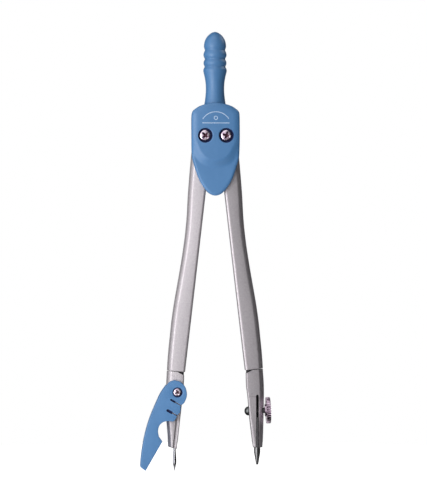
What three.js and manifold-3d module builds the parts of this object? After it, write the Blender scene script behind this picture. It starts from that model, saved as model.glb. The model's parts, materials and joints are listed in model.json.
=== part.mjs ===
// A school drawing compass: two hinged legs geared together under a moulded cover, a ribbed handle,
// a needle leg with a swing-out needle guard and a lead leg with a screw clamp.
// Millimetres, +Z up, the front faces -Y. Heights are measured from the line of the two leg pivots.

import * as THREE from "three";
import { mergeVertices } from "three/addons/utils/BufferGeometryUtils.js";
import Module from "manifold-3d";

const wasm = await Module();
wasm.setup();

// ---- Driving dimensions ----

const GRIP_HEIGHT = 21; // middle of the grip, where the origin is
const PIVOT_X = 3.36; // each leg pivot's distance from the middle
const LEG_HALF = 2; // half the thickness of a leg
const FACE_SLOPE = 0.3; // how much lower a leg's face is at its outer edge
const HUB_HALF = 1.5; // half the thickness of a leg's toothed hub
const COVER_IN = 2.35; // inner faces of the two covers
const LOBE_OUT = 3.9; // front of the cover's lower lobe
const PLATEAU_OUT = 5; // front of the cover's raised plateau
const REAR_OUT = 4.8; // back of the rear cover
const REAR_INSET = 0.3; // how far the rear cover stands inside the front cover's outline
const SCREW_R = 1.25;
const SCREW_HEAD_R = 1.75;
const SCREW_TOP = -4.75;
const RECESS_R = 2.3; // counterbore round each screw head
const BORE_R = 1.32;

const TEETH = 12; // on a full turn of the hub
const PRESSURE_ANGLE = THREE.MathUtils.degToRad(25);
const BACKLASH = 0.14;

const SEAM = { x: 12.5, z: -75.3, slope: 0.16 }; // knee seam, rising outwards
const KNEE = { x: 11.7, z: -73.6 }; // knee pin
const KNEE_FOLD = THREE.MathUtils.degToRad(21); // room cut for the fold
const KNEE_GAP = 0.15;
const TAB_HALF = 0.7;
const TAB_R = 1.7;
const PIN_R = 0.8;

const GUARD_PIVOT = { x: -12.1, z: -81.9 };
const GUARD_IN = 2.15; // inner faces of the guard's two cheeks
const GUARD_OUT = 2.95;
const GUARD_HEAD_R = 1.25;

const NEEDLE_X = -12.96;
const LEAD_X = 13.4;
const LEAD_R = 1;
const CLAMP = { x: 13.1, z: -87.95, tilt: THREE.MathUtils.degToRad(2) };
const JAW_TOP = -83.2;
const JAW_SPLIT = 13.05; // outer face of the clamp jaw
const SLOT_OUTER = 13.9; // outer side of the lead slot
const WEB_THICK = 0.65; // web behind the slot
const WEB_INNER = 12.3;
const WEB_LAP = 1.2; // how far the web hangs behind the jaw's top
const STUD_HEAD_R = 1.45;
const STUD_R = 0.9;
const STUD_HEAD_END = -2; // distances along the clamp screw, outwards from CLAMP
const JAW_SEAT = -1.35; // floor of the jaw's counterbore, which leaves the jaw its travel
const SHOULDER = 2.82;
const KNOB_FACE = 3.2;
const KNOB_END = 4.85;
const SOCKET_END = 4.45;
const KNOB_R = 4.28;
const KNURLS = 32;

const PLAIN_SIDES = 28;

// ---- Making solids ----

// A closed three.js geometry as a solid that can be joined and cut.
function solid(geometry) {
  const bare = geometry.index ? geometry.toNonIndexed() : geometry.clone();
  bare.deleteAttribute("normal");
  bare.deleteAttribute("uv");
  const merged = mergeVertices(bare, 1e-4);
  const triVerts = new Uint32Array(merged.index.array);
  const vertProperties = merged.attributes.position.array;
  const made = new wasm.Manifold(new wasm.Mesh({ numProp: 3, vertProperties, triVerts }));
  if (made.volume() > 0) return made;
  for (let i = 0; i < triVerts.length; i += 3) {
    [triVerts[i + 1], triVerts[i + 2]] = [triVerts[i + 2], triVerts[i + 1]];
  }
  return new wasm.Manifold(new wasm.Mesh({ numProp: 3, vertProperties, triVerts }));
}

function join(...solids) {
  return solids.reduce((all, next) => all.add(next));
}

function cut(body, ...tools) {
  return tools.reduce((left, tool) => left.subtract(tool), body);
}

function place(geometry, { x = 0, y = 0, z = 0, turn = 0 }) {
  geometry.rotateY(turn);
  geometry.translate(x, y, z);
  return geometry;
}

// An outline in front view, as a plate between two depths.
function plate(outline, front, back) {
  const options = { depth: back - front, bevelEnabled: false };
  const geometry = new THREE.ExtrudeGeometry(new THREE.Shape(outline), options);
  geometry.rotateX(Math.PI / 2);
  geometry.translate(0, back, 0);
  return solid(geometry);
}

// A round pin or bore along Y.
function roundY(x, z, radius, front, back, sides = PLAIN_SIDES) {
  const geometry = new THREE.CylinderGeometry(radius, radius, back - front, sides);
  return solid(place(geometry, { x, y: (front + back) / 2, z }));
}

// A profile of [radius, depth] turned about a front-to-back axis.
function turnedY(profile, x, z, sides = PLAIN_SIDES) {
  const points = profile.map(([radius, y]) => new THREE.Vector2(radius, y));
  return solid(place(new THREE.LatheGeometry(points, sides), { x, z }));
}

// A profile of [radius, height] turned about a vertical axis.
function turnedZ(profile, x, sides = PLAIN_SIDES) {
  const points = profile.map(([radius, z]) => new THREE.Vector2(radius, z));
  const geometry = new THREE.LatheGeometry(points, sides).rotateX(Math.PI / 2);
  return solid(place(geometry, { x }));
}

function box(x0, x1, y0, y1, z0, z1) {
  const geometry = new THREE.BoxGeometry(x1 - x0, y1 - y0, z1 - z0);
  return solid(place(geometry, { x: (x0 + x1) / 2, y: (y0 + y1) / 2, z: (z0 + z1) / 2 }));
}

// Rings of as many points each, skinned in order and closed at both ends. The ends are flat to `drop`.
function loft(rings, drop) {
  const count = rings[0].length;
  const positions = rings.flat().flatMap((p) => [p.x, p.y, p.z]);
  const index = [];
  for (let r = 0; r + 1 < rings.length; r += 1) {
    for (let i = 0; i < count; i += 1) {
      const a = r * count + i;
      const b = r * count + ((i + 1) % count);
      index.push(a, b, a + count, b, b + count, a + count);
    }
  }
  const flat = rings[0].map((p) => new THREE.Vector2(p.x, drop === "y" ? p.z : p.y));
  const last = (rings.length - 1) * count;
  const clockwise = THREE.ShapeUtils.isClockWise(flat);
  const outline = clockwise ? flat.slice().reverse() : flat;
  for (const [a, b, c] of THREE.ShapeUtils.triangulateShape(outline, [])) {
    const [p, q, s] = [a, b, c].map((k) => (clockwise ? count - 1 - k : k));
    const [u, v, w] = clockwise ? [p, q, s] : [q, p, s];
    index.push(u, v, w, last + v, last + u, last + w);
  }
  const geometry = new THREE.BufferGeometry();
  geometry.setAttribute("position", new THREE.Float32BufferAttribute(positions, 3));
  geometry.setIndex(index);
  return solid(geometry);
}

// Smooth edge through points of [height, distance from the middle], read at a height.
function edge(points) {
  const curve = new THREE.SplineCurve(points.map(([z, x]) => new THREE.Vector2(x, z)));
  const samples = curve.getPoints(points.length * 12);
  return (z) => {
    const i = Math.max(1, samples.findIndex((p) => p.y <= z));
    const [a, b] = [samples[i - 1], samples[i]];
    return a.x + ((b.x - a.x) * (z - a.y)) / (b.y - a.y);
  };
}

// A bar along a leg: bevelled on both corners of each edge, on the side given by -1 or 1.
function bar(side, outer, inner, heights, shape) {
  const rings = heights.map((z) => {
    const { half, outerBevel, innerBevel, outerFlat, innerFlat } = shape(z);
    const slopedHalf = half - FACE_SLOPE;
    const [o, i] = [outer(z), inner(z)];
    const section = [
      [o, -outerFlat],
      [o, outerFlat],
      [o - outerBevel, slopedHalf],
      [i + innerBevel, half],
      [i, innerFlat],
      [i, -innerFlat],
      [i + innerBevel, -half],
      [o - outerBevel, -slopedHalf],
    ];
    return section.map(([x, y]) => new THREE.Vector3(side * x, y, z));
  });
  return loft(rings, "z");
}

function steps(from, to, count) {
  return Array.from({ length: count + 1 }, (_, i) => from + ((to - from) * i) / count);
}

// ---- Covers and handle ----

const COVER_EDGE = [
  [0, 10.45],
  [2.7, 10.15],
  [5, 9.45],
  [6.9, 8.2],
  [7.62, 6.6],
  [7.72, 2],
  [7.64, -5.6],
  [7.48, -7.4],
  [6.05, -12],
  [4.8, -14.9],
  [3.3, -17.1],
  [1.8, -18.6],
];
const COVER_LOW = -19.2;

// The plateau's edge: it follows the cover down the sides and ends in a shallow smile.
const PLATEAU_EDGE = [
  [0, 10.2],
  [2.7, 9.9],
  [4.9, 9.2],
  [6.7, 8],
  [7.4, 6.4],
  [7.5, 1.9],
  [7.3, -5],
  [6.2, -7.5],
  [4.4, -9.1],
  [2.4, -10],
];
const PLATEAU_LOW = -10.3;

function mirrored(half, low, divisions) {
  const right = half.map(([x, z]) => new THREE.Vector2(x, z));
  const left = half.slice(1).reverse().map(([x, z]) => new THREE.Vector2(-x, z));
  const loop = [...right, new THREE.Vector2(0, low), ...left];
  const points = loop.map((p) => new THREE.Vector3(p.x, 0, p.y));
  const curve = new THREE.CatmullRomCurve3(points, true, "centripetal");
  return curve.getPoints(divisions).slice(0, divisions);
}

// The outline drawn in towards the cover's middle and set at a depth.
function layer(outline, inset, y) {
  const middle = new THREE.Vector3(0, 0, -1);
  return outline.map((p) => {
    const away = p.clone().sub(middle);
    const reach = away.length();
    const q = middle.clone().addScaledVector(away, (reach - inset) / reach);
    return q.setY(y);
  });
}

function coverRim(front, back) {
  const outline = mirrored(COVER_EDGE, COVER_LOW, 56);
  const whole = loft([layer(outline, REAR_INSET, front), layer(outline, REAR_INSET, back)], "y");
  const inside = loft([layer(outline, 1.6, front - 1), layer(outline, 1.6, back + 1)], "y");
  const belowRim = box(-12, 12, -8, 8, -25, 4.2);
  return cut(whole, inside, belowRim);
}

// The handle's neck passes out between the covers here.
function neckRoom() {
  return turnedZ([[0, 7.75], [3.75, 7.75], [3.75, 14], [0, 14]], 0);
}

function frontCover() {
  const outline = mirrored(COVER_EDGE, COVER_LOW, 72);
  const base = loft(
    [
      layer(outline, 0, -COVER_IN),
      layer(outline, 0, -LOBE_OUT + 0.7),
      layer(outline, 0.25, -LOBE_OUT + 0.25),
      layer(outline, 0.8, -LOBE_OUT),
    ],
    "y",
  );
  const raised = mirrored(PLATEAU_EDGE, PLATEAU_LOW, 72);
  const plateau = loft(
    [
      layer(raised, 0.6, -COVER_IN - 0.3),
      layer(raised, 0, -LOBE_OUT + 0.2),
      layer(raised, 0.5, -LOBE_OUT - 0.45),
      layer(raised, 1.3, -PLATEAU_OUT + 0.25),
      layer(raised, 2.8, -PLATEAU_OUT),
    ],
    "y",
  );
  const recesses = [-PIVOT_X, PIVOT_X].flatMap((x) => [
    roundY(x, 0, RECESS_R, -6, -3.8),
    roundY(x, 0, BORE_R, -6, 0),
  ]);
  return cut(join(base, plateau, coverRim(-COVER_IN - 0.5, -0.06)), neckRoom(), ...recesses);
}

function rearCover() {
  const outline = mirrored(COVER_EDGE, COVER_LOW, 72);
  const base = loft(
    [
      layer(outline, REAR_INSET, COVER_IN),
      layer(outline, REAR_INSET, REAR_OUT - 1.1),
      layer(outline, REAR_INSET + 0.35, REAR_OUT - 0.35),
      layer(outline, REAR_INSET + 1.1, REAR_OUT),
    ],
    "y",
  );
  const pockets = [-PIVOT_X, PIVOT_X].flatMap((x) => [
    roundY(x, 0, 2.98, 3.2, 6, 6),
    roundY(x, 0, BORE_R, 0, 6),
  ]);
  return cut(join(base, coverRim(0.06, COVER_IN + 0.5)), neckRoom(), ...pockets);
}

// The grip: a domed, ribbed knob on a waisted neck, with a flange that the covers trap.
function handleGrip() {
  const outline = [
    [0, 7.9],
    [3.45, 7.9],
    [3.45, 10.2],
    [3.2, 11.7],
    [3.02, 13.4],
    [2.96, 15.2],
    [3.1, 17.3],
    [3.42, 19.2],
    [3.76, 20.6],
    [3.78, 21.2],
    [3.4, 22.2],
    [3.7, 23.35],
    [3.35, 24.6],
    [3.72, 26],
    [3.3, 27.4],
    [3.56, 28.8],
    [3.42, 29.8],
    [3.13, 30.75],
    [2.6, 31.7],
    [1.85, 32.5],
    [0.95, 33.1],
    [0, 33.3],
  ];
  return join(turnedZ(outline, 0, 32), box(-4.4, 4.4, -2.1, 2.1, 5, 7.7), box(-2.6, 2.6, -2, 2, 7, 9));
}

// ---- Leg pivots ----

function pivotScrew(x, slotTurn) {
  const profile = [
    [0, 4.3],
    [SCREW_R, 4.3],
    [SCREW_R, -3.9],
    [SCREW_HEAD_R, -3.9],
    [SCREW_HEAD_R, SCREW_TOP + 0.45],
    [SCREW_HEAD_R - 0.2, SCREW_TOP + 0.2],
    [1, SCREW_TOP + 0.04],
    [0, SCREW_TOP],
  ];
  return cut(turnedY(profile, x, 0), ...crossRecess(x, 0, slotTurn, -5.2, -3.95, 1.2, 0.6));
}

// The two slots of a cross-head recess.
function crossRecess(x, z, turn, front, back, reach, width) {
  return [0, Math.PI / 2].map((quarter) => {
    const blade = new THREE.BoxGeometry(2 * reach, back - front, width);
    return solid(place(blade, { x, y: (front + back) / 2, z, turn: turn + quarter }));
  });
}

function pivotNut(x) {
  return cut(roundY(x, 0, 2.85, 3.3, 4.7, 6), roundY(x, 0, BORE_R, 3, 5));
}

function frictionWasher(x, front, back) {
  return cut(roundY(x, 0, 2.9, front, back), roundY(x, 0, BORE_R, front - 1, back + 1));
}

// ---- Legs ----

const involute = (angle) => Math.tan(angle) - angle;

// Teeth centred on the given angles about a hub's middle; plain round between the last and the first.
function toothedOutline(x, centres) {
  const base = PIVOT_X * Math.cos(PRESSURE_ANGLE);
  const modulus = (2 * PIVOT_X) / TEETH;
  const tip = PIVOT_X + 0.8 * modulus;
  const root = PIVOT_X - 1.12 * modulus;
  const halfAtPitch = Math.PI / (2 * TEETH) - BACKLASH / (2 * PIVOT_X);
  const halfAt = (r) => {
    const slant = Math.acos(Math.min(1, base / r));
    return halfAtPitch + involute(PRESSURE_ANGLE) - involute(slant);
  };
  const points = [];
  const put = (r, angle) => points.push(new THREE.Vector2(x + r * Math.cos(angle), r * Math.sin(angle)));
  const flank = [root, ...steps(base, tip, 4)];
  for (const degrees of centres) {
    const middle = THREE.MathUtils.degToRad(degrees);
    for (const r of flank) put(r, middle - halfAt(r));
    for (const r of flank.slice().reverse()) put(r, middle + halfAt(r));
  }
  const gap = 180 / TEETH;
  const from = centres[centres.length - 1] + gap;
  const to = centres[0] - gap + 360;
  for (const degrees of steps(from, to, 24)) put(tip, THREE.MathUtils.degToRad(degrees));
  return points;
}

const OUTER = [
  [-2, 7.2],
  [-7.7, 7.8],
  [-18.2, 8.67],
  [-31.7, 9.66],
  [-42.2, 11.2],
  [-53.8, 13.2],
  [-64.3, 14.5],
  [-76.8, 15.5],
  [-80, 15.6],
];
const innerEdge = (z) => 0.925 - 0.1162 * z; // straight

function above(side, lift, fold = 0) {
  const tilt = -side * Math.atan(SEAM.slope);
  const slab = place(new THREE.BoxGeometry(30, 12, 20), { z: 10 });
  place(slab, { x: side * SEAM.x, z: SEAM.z + lift, turn: tilt });
  slab.translate(-side * KNEE.x, 0, -KNEE.z);
  return solid(place(slab, { x: side * KNEE.x, z: KNEE.z, turn: -side * fold }));
}

// The knee's tongue, or with room added the fork that it turns in, which opens on the inner edge.
function kneeTongue(side, room) {
  const radius = TAB_R + room;
  const half = TAB_HALF + (room ? 0.1 : 0);
  const inwards = room ? 4 : radius;
  const [a, b] = [side * (KNEE.x - inwards), side * (KNEE.x + radius)];
  const foot = box(Math.min(a, b), Math.max(a, b), -half, half, KNEE.z - 6, KNEE.z);
  return join(roundY(side * KNEE.x, KNEE.z, radius, -half, half), foot);
}

function upperLeg(side, toothCentres) {
  const x = side * PIVOT_X;
  const section = { half: LEG_HALF, outerBevel: 1.25, innerBevel: 0.55, outerFlat: 0.4, innerFlat: 1.75 };
  const arm = bar(side, edge(OUTER), innerEdge, steps(-4.2, -78, 18), () => section);
  const hub = plate(toothedOutline(x, toothCentres), -HUB_HALF, HUB_HALF);
  const [a, b] = [x - side * 2.3, x + side * 3.4];
  const neck = box(Math.min(a, b), Math.max(a, b), -HUB_HALF, HUB_HALF, -6, -1.6);
  const fork = kneeTongue(side, 0.25);
  const pinHole = roundY(side * KNEE.x, KNEE.z, PIN_R + 0.06, -1.3, 3);
  const below = box(-40, 40, -9, 9, -100, SEAM.z + 8).subtract(above(side, 0));
  return cut(join(arm, hub, neck), roundY(x, 0, BORE_R, -3, 3), fork, pinHole, below);
}

// The tongue of a lower leg, cut free of the seam, with the wedge that lets it fold inwards.
function withKnee(side, leg) {
  const body = cut(leg, above(side, -KNEE_GAP), above(side, -KNEE_GAP, KNEE_FOLD));
  const hole = roundY(side * KNEE.x, KNEE.z, PIN_R + 0.06, -3, 3);
  return cut(join(body, kneeTongue(side, 0)), hole);
}

function kneePin(side) {
  return roundY(side * KNEE.x, KNEE.z, PIN_R, -1.2, 1.95);
}

const NEEDLE_OUTER = [
  [-70, 15.2],
  [-76.8, 15.5],
  [-84, 15.8],
  [-91.2, 15.8],
  [-97, 15.3],
  [-101, 15.1],
];
const NEEDLE_INNER = [
  [-70, 9.6],
  [-75.4, 9.8],
  [-78.7, 9.97],
  [-88.3, 11],
  [-94.1, 11.6],
  [-99, 12.1],
  [-101, 12.3],
];

function needleHolder() {
  // Below the guard the holder is turned down towards a round nose.
  const section = (z) => {
    const nose = THREE.MathUtils.smoothstep(-z, 87, 93);
    return {
      half: LEG_HALF - 0.45 * nose,
      outerBevel: 1.25 - 0.2 * nose,
      innerBevel: 0.55 + 0.1 * nose,
      outerFlat: 0.4,
      innerFlat: 1.75 - 0.4 * nose,
    };
  };
  const leg = bar(-1, edge(NEEDLE_OUTER), edge(NEEDLE_INNER), steps(-71, -100.6, 20), section);
  const foot = box(-30, 0, -5, 5, -110, 0);
  const slant = place(new THREE.BoxGeometry(30, 12, 10), { z: -5 });
  place(slant, { x: -13, z: -100.2, turn: THREE.MathUtils.degToRad(20) });
  const needleHole = turnedZ([[0, -91.4], [0.5, -91.4], [0.5, -103], [0, -103]], NEEDLE_X, 20);
  const screwHole = roundY(GUARD_PIVOT.x, GUARD_PIVOT.z, 0.85, -5, 5);
  return cut(withKnee(-1, leg.intersect(foot)), solid(slant), needleHole, screwHole);
}

const LEAD_OUTER = [
  [-70, 15.1],
  [-74.9, 15.33],
  [-79.7, 15.68],
  [-84.5, 15.71],
  [-94.1, 15.49],
  [-101, 15.2],
];
const LEAD_INNER = [
  [-70, 9.6],
  [-75.5, 9.78],
  [-79.7, 9.98],
  [-83.5, 10.35],
  [-90.2, 10.78],
  [-97.9, 11.68],
  [-101, 11.95],
];
const LEAD_LOW = -99.7;

function leadBar() {
  const section = { half: LEG_HALF, outerBevel: 1.25, innerBevel: 0.5, outerFlat: 0.4, innerFlat: 1.7 };
  return bar(1, edge(LEAD_OUTER), edge(LEAD_INNER), steps(-71, LEAD_LOW, 20), () => section);
}

function leadBore() {
  return turnedZ([[0, -89.4], [LEAD_R + 0.05, -89.4], [LEAD_R + 0.05, -104], [0, -104]], LEAD_X, 24);
}

// A round solid along the clamp screw's tilted axis: profile of [radius, distance along it].
function turnedClamp(profile, sides = PLAIN_SIDES) {
  const points = profile.map(([radius, along]) => new THREE.Vector2(radius, along));
  const geometry = new THREE.LatheGeometry(points, sides).rotateZ(-Math.PI / 2);
  return solid(place(geometry, { x: CLAMP.x, z: CLAMP.z, turn: -CLAMP.tilt }));
}

function clampBore() {
  const [wide, narrow] = [STUD_HEAD_R + 0.07, STUD_R + 0.07];
  return turnedClamp([[0, -6], [wide, -6], [wide, JAW_SEAT], [narrow, JAW_SEAT], [narrow, 6], [0, 6]]);
}

// The web that closes the slot and the jaw's top at the back. It is part of the holder.
function leadWeb(gap) {
  const front = LEG_HALF - WEB_THICK - gap;
  const behindSlot = box(WEB_INNER - gap, SLOT_OUTER + 0.3, front, 3, LEAD_LOW - 1, JAW_TOP + 0.5);
  const behindJawTop = box(0, SLOT_OUTER, front, 3, JAW_TOP - WEB_LAP - gap, JAW_TOP + 0.5);
  return join(behindSlot, behindJawTop);
}

function leadHolder() {
  const jawRoom = cut(box(0, SLOT_OUTER, -5, 5, -110, JAW_TOP), leadWeb(0));
  const slotR = (SLOT_OUTER - JAW_SPLIT) / 2;
  const slotTop = roundY(JAW_SPLIT + slotR, JAW_TOP, slotR, -5, LEG_HALF - WEB_THICK, 20);
  return cut(withKnee(1, leadBar()), jawRoom, slotTop, leadBore(), clampBore());
}

function clampJaw() {
  const room = box(0, JAW_SPLIT, -5, 5, -110, JAW_TOP - 0.12);
  return cut(leadBar().intersect(room), leadWeb(0.12), leadBore(), clampBore());
}

// ---- Needle, guard, lead and clamp screw ----

function needle() {
  const profile = [
    [0, -107.2],
    [0.08, -107.15],
    [0.24, -106.3],
    [0.48, -105.1],
    [0.6, -104.6],
    [0.6, -101.8],
    [0.45, -101.4],
    [0.45, -91.6],
    [0, -91.6],
  ];
  return turnedZ(profile, NEEDLE_X, 20);
}

const GUARD_OUTSIDE = [
  [-12.9, -78.1],
  [-16.2, -79.7],
  [-18.5, -83.5],
  [-20.2, -87.4],
  [-21.6, -91.2],
  [-22.6, -95],
  [-23.4, -98.9],
  [-23.9, -102.7],
  [-24, -105.3],
];
const GUARD_TIP = [
  [-23.4, -106.4],
  [-22.5, -106.7],
  [-22, -106.6],
  [-16.9, -97.6],
];
const GUARD_NOTCH = [
  [-17.7, -96],
  [-18.2, -94.1],
  [-17.5, -92.2],
  [-15.5, -91],
];
const GUARD_INSIDE = [
  [-13.5, -91],
  [-12.3, -90.2],
  [-11.3, -88.6],
  [-10.6, -86.6],
  [-9.6, -84.6],
  [-8.95, -82.6],
  [-9.4, -80.3],
  [-10.9, -78.7],
  [-12.9, -78.1],
];

function smooth(points, count) {
  return new THREE.SplineCurve(points.map(([x, z]) => new THREE.Vector2(x, z))).getPoints(count);
}

function slotBlade(x0, z0, x1, z1, width) {
  const length = Math.hypot(x1 - x0, z1 - z0);
  const turn = Math.atan2(z0 - z1, x1 - x0);
  const blade = place(new THREE.BoxGeometry(length, 12, width), { x: length / 2 });
  return join(solid(place(blade, { x: x0, z: z0, turn })), roundY(x0, z0, width / 2, -6, 6, 16));
}

function needleGuard() {
  const outside = smooth(GUARD_OUTSIDE, 24);
  const outline = [
    ...outside,
    ...GUARD_TIP.map(([x, z]) => new THREE.Vector2(x, z)),
    ...smooth(GUARD_NOTCH, 8),
    ...smooth(GUARD_INSIDE, 20).slice(0, -1),
  ];
  const whole = plate(outline, -GUARD_OUT, GUARD_OUT);
  // The channel between the cheeks stops short of the outer edge, and so leaves a spine there.
  const spineTop = outside.findIndex((p) => p.y < -83.6);
  const channelEdge = outside.slice(spineTop).map((p, i) => new THREE.Vector2(p.x + 1 + 0.03 * i, p.y));
  const channel = plate(
    [
      new THREE.Vector2(-30, -83.6),
      channelEdge[0],
      ...channelEdge.slice(1),
      new THREE.Vector2(-22.3, -112),
      new THREE.Vector2(0, -112),
      new THREE.Vector2(0, -70),
      new THREE.Vector2(-30, -70),
    ],
    -GUARD_IN,
    GUARD_IN,
  );
  const { x, z } = GUARD_PIVOT;
  return cut(
    whole,
    channel,
    slotBlade(-14.05, -84.2, -8, -88.3, 0.6),
    slotBlade(-15.2, -87.7, -10.4, -91.1, 0.8),
    roundY(x, z, 0.85, -5, 5),
    roundY(x, z, 1.6, -5, -GUARD_OUT + 0.4),
    roundY(x, z, 1.6, GUARD_OUT - 0.4, 5),
  );
}

function guardScrew() {
  const { x, z } = GUARD_PIVOT;
  const profile = [
    [0, 2.8],
    [0.78, 2.8],
    [0.78, -2.62],
    [GUARD_HEAD_R, -2.62],
    [GUARD_HEAD_R, -2.8],
    [0.9, -2.9],
    [0, -2.95],
  ];
  return cut(turnedY(profile, x, z), ...crossRecess(x, z, 0.5, -3.2, -2.7, 0.8, 0.34));
}

function guardNut() {
  const { x, z } = GUARD_PIVOT;
  return cut(roundY(x, z, 1.35, 2.62, 2.92), roundY(x, z, 0.86, 2, 4));
}

function lead() {
  const profile = [
    [0, -105.3],
    [0.35, -105.25],
    [0.45, -105],
    [LEAD_R, -101.2],
    [LEAD_R, -90],
    [0, -90],
  ];
  return turnedZ(profile, LEAD_X, 24);
}

// The clamp stud: a domed head sunk in the jaw, and a shank through both jaws, pressed into its knob.
function clampStud() {
  const profile = [
    [0, -3.45],
    [0.7, -3.33],
    [1.2, -3],
    [STUD_HEAD_R, -2.5],
    [STUD_HEAD_R, STUD_HEAD_END],
    [STUD_R, STUD_HEAD_END],
    [STUD_R, SOCKET_END - 0.1],
    [0, SOCKET_END - 0.1],
  ];
  return turnedClamp(profile);
}

function clampKnob() {
  const [neck, lap] = [1.95, KNOB_FACE + 0.15];
  const shoulder = turnedClamp([[0, SHOULDER], [neck, SHOULDER], [neck, lap], [0, lap]]);
  const knurl = [];
  for (let i = 0; i < 2 * KNURLS; i += 1) {
    const angle = (Math.PI * i) / KNURLS;
    const radius = i % 2 ? KNOB_R : KNOB_R - 0.28;
    knurl.push(new THREE.Vector2(radius * Math.cos(angle), radius * Math.sin(angle)));
  }
  const options = { depth: KNOB_END - KNOB_FACE, bevelEnabled: false };
  const wheel = new THREE.ExtrudeGeometry(new THREE.Shape(knurl), options);
  wheel.translate(0, 0, KNOB_FACE).rotateY(Math.PI / 2);
  place(wheel, { x: CLAMP.x, z: CLAMP.z, turn: -CLAMP.tilt });
  const bore = STUD_R + 0.05;
  const socket = turnedClamp([[0, 0], [bore, 0], [bore, SOCKET_END], [0, SOCKET_END]]);
  return cut(join(shoulder, solid(wheel)), socket);
}

// ---- Materials ----

function material(color, roughness, metalness) {
  return () => new THREE.MeshStandardMaterial({ color, roughness, metalness });
}
const bluePlastic = material(0x4a7fb8, 0.42, 0);
const silverPaint = material(0xb3aeb2, 0.45, 0.55);
const nickel = material(0xc4c0c6, 0.25, 1);
const steel = material(0x9a9a9c, 0.3, 1);
const nylon = material(0xe6e4dc, 0.6, 0);
const graphite = material(0x2c2c30, 0.4, 0.1);

// ---- Assembly ----

const compass = new THREE.Group();
compass.position.z = -GRIP_HEIGHT;

function add(name, body, finish) {
  const made = body.getMesh();
  const geometry = new THREE.BufferGeometry();
  geometry.setAttribute("position", new THREE.BufferAttribute(made.vertProperties, 3));
  geometry.setIndex(new THREE.BufferAttribute(made.triVerts, 1));
  geometry.computeVertexNormals();
  const mesh = new THREE.Mesh(geometry, finish());
  mesh.name = name;
  compass.add(mesh);
}

add("handle_grip", handleGrip(), bluePlastic);
add("front_cover", frontCover(), bluePlastic);
add("rear_cover", rearCover(), bluePlastic);
for (const [label, x, turn] of [["left", -PIVOT_X, 0.7], ["right", PIVOT_X, 0.15]]) {
  add(`pivot_screw_${label}`, pivotScrew(x, turn), nickel);
  add(`pivot_nut_${label}`, pivotNut(x), steel);
  add(`front_washer_${label}`, frictionWasher(x, -2.25, -1.6), nylon);
  add(`rear_washer_${label}`, frictionWasher(x, 1.6, 2.25), nylon);
}
add("needle_leg", upperLeg(-1, [-45, -15, 15, 45, 75, 105]), silverPaint);
add("lead_leg", upperLeg(1, [90, 120, 150, 180, 210]), silverPaint);
add("needle_knee_pin", kneePin(-1), steel);
add("lead_knee_pin", kneePin(1), steel);
add("needle_holder", needleHolder(), silverPaint);
add("needle", needle(), steel);
add("needle_guard", needleGuard(), bluePlastic);
add("guard_screw", guardScrew(), nickel);
add("guard_nut", guardNut(), nickel);
add("lead_holder", leadHolder(), silverPaint);
add("clamp_jaw", clampJaw(), silverPaint);
add("clamp_stud", clampStud(), nickel);
add("clamp_knob", clampKnob(), nickel);
add("lead", lead(), graphite);

export default compass;
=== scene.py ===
"""The looks of the drawing compass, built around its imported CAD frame.

Shapes are worked out in millimetres. Heights are from the line of the two leg pivots, and the front
faces -Y. settle() turns a finished shape into metres in the frame and hands it to its body.
"""

import json
import math

import bmesh
import bpy
import numpy as np
from mathutils import Matrix, Vector


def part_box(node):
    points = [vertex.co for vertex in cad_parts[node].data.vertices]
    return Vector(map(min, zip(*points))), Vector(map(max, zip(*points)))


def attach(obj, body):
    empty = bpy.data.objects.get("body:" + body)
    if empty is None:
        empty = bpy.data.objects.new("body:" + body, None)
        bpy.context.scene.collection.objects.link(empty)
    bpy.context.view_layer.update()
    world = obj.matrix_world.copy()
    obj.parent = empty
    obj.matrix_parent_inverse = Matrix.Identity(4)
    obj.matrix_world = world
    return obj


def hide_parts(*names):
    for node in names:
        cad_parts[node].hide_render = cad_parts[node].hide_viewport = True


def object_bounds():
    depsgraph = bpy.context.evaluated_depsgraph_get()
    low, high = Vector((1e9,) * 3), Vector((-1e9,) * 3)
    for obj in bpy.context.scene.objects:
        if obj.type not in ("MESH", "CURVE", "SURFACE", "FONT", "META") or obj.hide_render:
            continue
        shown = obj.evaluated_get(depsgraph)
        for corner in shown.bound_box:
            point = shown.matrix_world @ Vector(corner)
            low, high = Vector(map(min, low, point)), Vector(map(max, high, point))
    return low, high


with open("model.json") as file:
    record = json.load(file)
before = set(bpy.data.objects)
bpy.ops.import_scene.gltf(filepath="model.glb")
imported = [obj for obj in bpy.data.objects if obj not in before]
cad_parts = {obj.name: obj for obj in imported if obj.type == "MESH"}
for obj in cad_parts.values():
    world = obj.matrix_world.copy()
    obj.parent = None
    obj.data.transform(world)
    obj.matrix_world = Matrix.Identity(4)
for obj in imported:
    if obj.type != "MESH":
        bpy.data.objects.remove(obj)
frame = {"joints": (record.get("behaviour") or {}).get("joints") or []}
CAD_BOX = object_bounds()

# ---- Sizes taken from the frame ----

JOINTS = {joint["name"]: joint for joint in frame["joints"]}
PIVOT_HEIGHT = JOINTS["lead_leg_pivot"]["pos_m"][2] * 1000


def joint_place(name):
    """A joint's place across and up, in millimetres from the pivot line."""
    x, _, z = JOINTS[name]["pos_m"]
    return x * 1000, z * 1000 - PIVOT_HEIGHT


def extent(node):
    """A node's lowest and highest corners in millimetres from the pivot line."""
    low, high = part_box(node)
    lift = Vector((0, 0, PIVOT_HEIGHT))
    return low * 1000 - lift, high * 1000 - lift


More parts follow.
